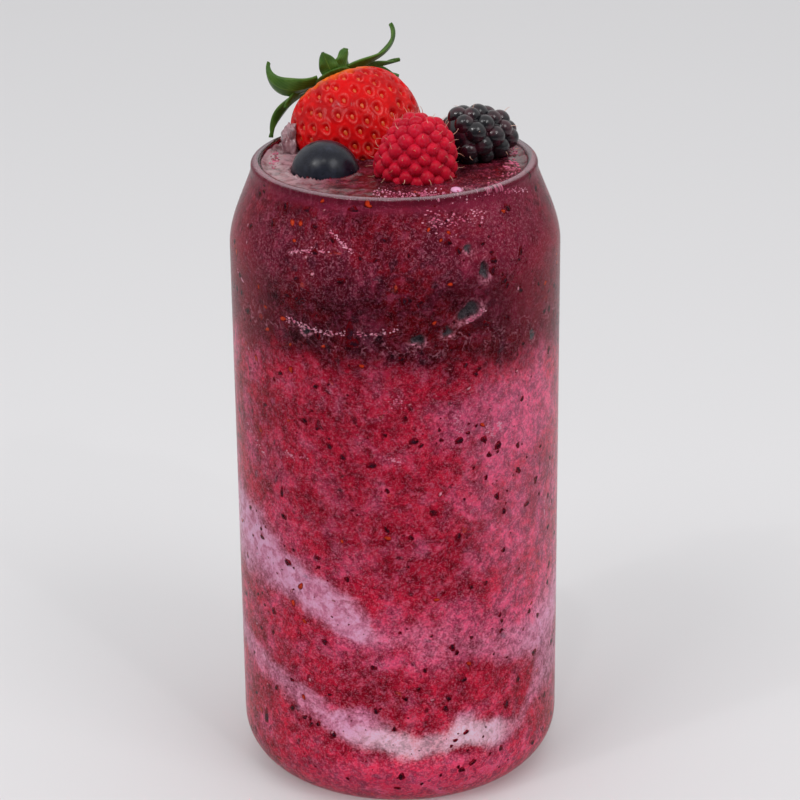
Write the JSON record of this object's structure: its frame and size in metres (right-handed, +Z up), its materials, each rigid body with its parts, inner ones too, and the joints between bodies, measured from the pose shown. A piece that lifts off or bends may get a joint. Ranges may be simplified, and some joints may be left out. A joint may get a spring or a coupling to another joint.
{
  "type": "berry smoothie in a glass",
  "caption": "Thick layered berry smoothie filling a can-shaped glass, with a strawberry and smaller whole berries half sunk in its top.",
  "frame": {"origin": "centre of the glass's foot, on the surface it stands on", "axes": "+Z up along the glass's axis; -Y is the front, which the garnish faces; +X is to the right as seen from the front"},
  "size_m": [0.079, 0.079, 0.1807],
  "materials": {
    "glass_clear": "clear polished glass",
    "smoothie_pink": "thick wet fruit blend, pink swirls",
    "smoothie_dark": "thick wet fruit pulp with seeds",
    "strawberry_red": "glossy pitted skin",
    "leaf_green": "satin leaf",
    "raspberry_pink": "soft satin fruit",
    "dark_berry_black": "glossy near-black fruit",
    "blueberry_blue": "satin dark blue skin"
  },
  "bodies": {
    "root": {"glass": "glass_clear", "smoothie_lower": "smoothie_pink", "smoothie_top": "smoothie_dark", "strawberry": "strawberry_red", "strawberry_calyx": "leaf_green", "raspberry": "raspberry_pink", "dark_berry": "dark_berry_black", "blueberry": "blueberry_blue"}
  },
  "joints": []
}
